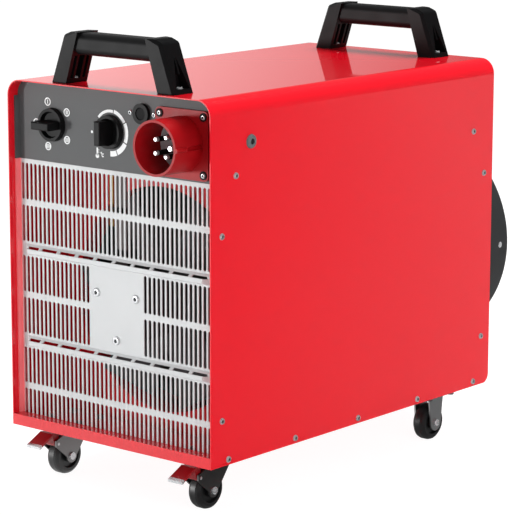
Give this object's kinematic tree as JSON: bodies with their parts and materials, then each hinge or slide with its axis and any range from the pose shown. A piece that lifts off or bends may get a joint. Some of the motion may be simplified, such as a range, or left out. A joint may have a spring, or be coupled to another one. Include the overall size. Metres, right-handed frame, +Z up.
{
  "type": "forced air heater",
  "caption": "Portable electric forced air heater in a folded steel case on four casters, with a louvred intake grille, control knobs, a five-pin mains inlet and a round duct outlet.",
  "frame": {"origin": "on the floor, below the middle of the overall box in plan", "axes": "+X to the right seen from the control panel side, -Y towards the control panel and intake grille, +Y out of the warm air outlet, +Z up"},
  "size_m": [0.356, 0.7096, 0.5985],
  "materials": {
    "red_paint": "gloss enamel",
    "panel_paint": "satin dark grey enamel",
    "grille_paint": "satin silver grey enamel",
    "zinc": "zinc plated",
    "fork_steel": "dark zinc plated",
    "bright_steel": "nickel plated",
    "dark_paint": "dark grey enamel",
    "black_plastic": "moulded, satin",
    "red_plastic": "moulded, gloss",
    "grey_plastic": "moulded, satin",
    "heat_steel": "heat resistant sheet",
    "brass": "machined",
    "tyre_rubber": "moulded",
    "motor_paint": "satin black enamel"
  },
  "bodies": {
    "heater": {"base_pan": "red_paint", "caster_bolts": "zinc", "caster_nuts": "zinc", "collar_screws": "bright_steel", "contactors": "grey_plastic", "control_panel": "panel_paint", "din_rail": "zinc", "electrics_tray": "zinc", "fan_motor": "motor_paint", "fan_shroud": "red_paint", "front_handle": "black_plastic", "front_plate_left": "fork_steel", "front_plate_right": "fork_steel", "handle_screws": "bright_steel", "heater_drum": "heat_steel", "heating_elements": "heat_steel", "inlet_housing": "red_plastic", "inlet_insert": "grey_plastic", "inlet_pins": "bright_steel", "inlet_screws": "bright_steel", "intake_grille": "grille_paint", "lock_screws": "dark_paint", "motor_screws": "bright_steel", "motor_strap": "grey_plastic", "outer_shell": "red_paint", "outlet_collar": "dark_paint", "outlet_guard": "dark_paint", "rear_axle_left": "bright_steel", "rear_axle_right": "bright_steel", "rear_bracket_left": "fork_steel", "rear_bracket_right": "fork_steel", "rear_handle": "black_plastic", "rear_panel": "panel_paint", "reset_boss": "black_plastic", "reset_limiter": "grey_plastic", "reset_screws": "bright_steel", "selector_switch": "grey_plastic", "shell_screws": "bright_steel", "strap_clips": "black_plastic", "terminal_block": "grey_plastic", "thermostat": "grey_plastic", "thermostat_bulb": "brass"},
    "fan": {"fan_impeller": "dark_paint", "fan_shaft": "bright_steel"},
    "selector": {"selector_knob": "black_plastic"},
    "thermostat_dial": {"thermostat_knob": "black_plastic"},
    "reset": {"reset_button": "black_plastic"},
    "front_swivel_left": {"front_fork_left": "fork_steel", "front_pins_left": "bright_steel"},
    "front_roll_left": {"front_wheel_left": "tyre_rubber"},
    "brake_left": {"brake_pedal_left": "red_plastic"},
    "rear_roll_left": {"rear_wheel_left": "tyre_rubber"},
    "front_swivel_right": {"front_fork_right": "fork_steel", "front_pins_right": "bright_steel"},
    "front_roll_right": {"front_wheel_right": "tyre_rubber"},
    "brake_right": {"brake_pedal_right": "red_plastic"},
    "rear_roll_right": {"rear_wheel_right": "tyre_rubber"}
  },
  "joints": [
    {"name": "fan_spin", "type": "hinge", "parent": "heater", "child": "fan", "pos_m": [0, -0.20425, 0.2445], "axis": [0, 1, 0], "continuous": true},
    {"name": "selector_turn", "type": "hinge", "parent": "heater", "child": "selector", "pos_m": [-0.109, -0.31725, 0.4755], "axis": [0, 1, 0], "range_deg": [0, 288]},
    {"name": "thermostat_turn", "type": "hinge", "parent": "heater", "child": "thermostat_dial", "pos_m": [-0.0074, -0.31725, 0.4755], "axis": [0, 1, 0], "range_deg": [-90, 188]},
    {"name": "reset_press", "type": "slide", "parent": "heater", "child": "reset", "axis": [0, 1, 0], "range_m": [0, 0.0025], "stiffness_N_per_m": 800, "springref_m": -0.001},
    {"name": "front_swivel_left", "type": "hinge", "parent": "heater", "child": "front_swivel_left", "pos_m": [-0.1255, -0.24795, 0.06], "axis": [0, 0, 1], "continuous": true},
    {"name": "front_roll_left", "type": "hinge", "parent": "front_swivel_left", "child": "front_roll_left", "pos_m": [-0.1255, -0.27095, 0.0255], "axis": [1, 0, 0], "continuous": true},
    {"name": "brake_left", "type": "hinge", "parent": "front_swivel_left", "child": "brake_left", "pos_m": [-0.1255, -0.29595, 0.047], "axis": [1, 0, 0], "range_deg": [0, 12]},
    {"name": "rear_roll_left", "type": "hinge", "parent": "heater", "child": "rear_roll_left", "pos_m": [-0.144, 0.18475, 0.0255], "axis": [1, 0, 0], "continuous": true},
    {"name": "front_swivel_right", "type": "hinge", "parent": "heater", "child": "front_swivel_right", "pos_m": [0.1255, -0.24795, 0.06], "axis": [0, 0, 1], "continuous": true},
    {"name": "front_roll_right", "type": "hinge", "parent": "front_swivel_right", "child": "front_roll_right", "pos_m": [0.1255, -0.27095, 0.0255], "axis": [1, 0, 0], "continuous": true},
    {"name": "brake_right", "type": "hinge", "parent": "front_swivel_right", "child": "brake_right", "pos_m": [0.1255, -0.29595, 0.047], "axis": [1, 0, 0], "range_deg": [0, 12]},
    {"name": "rear_roll_right", "type": "hinge", "parent": "heater", "child": "rear_roll_right", "pos_m": [0.144, 0.18475, 0.0255], "axis": [1, 0, 0], "continuous": true}
  ]
}
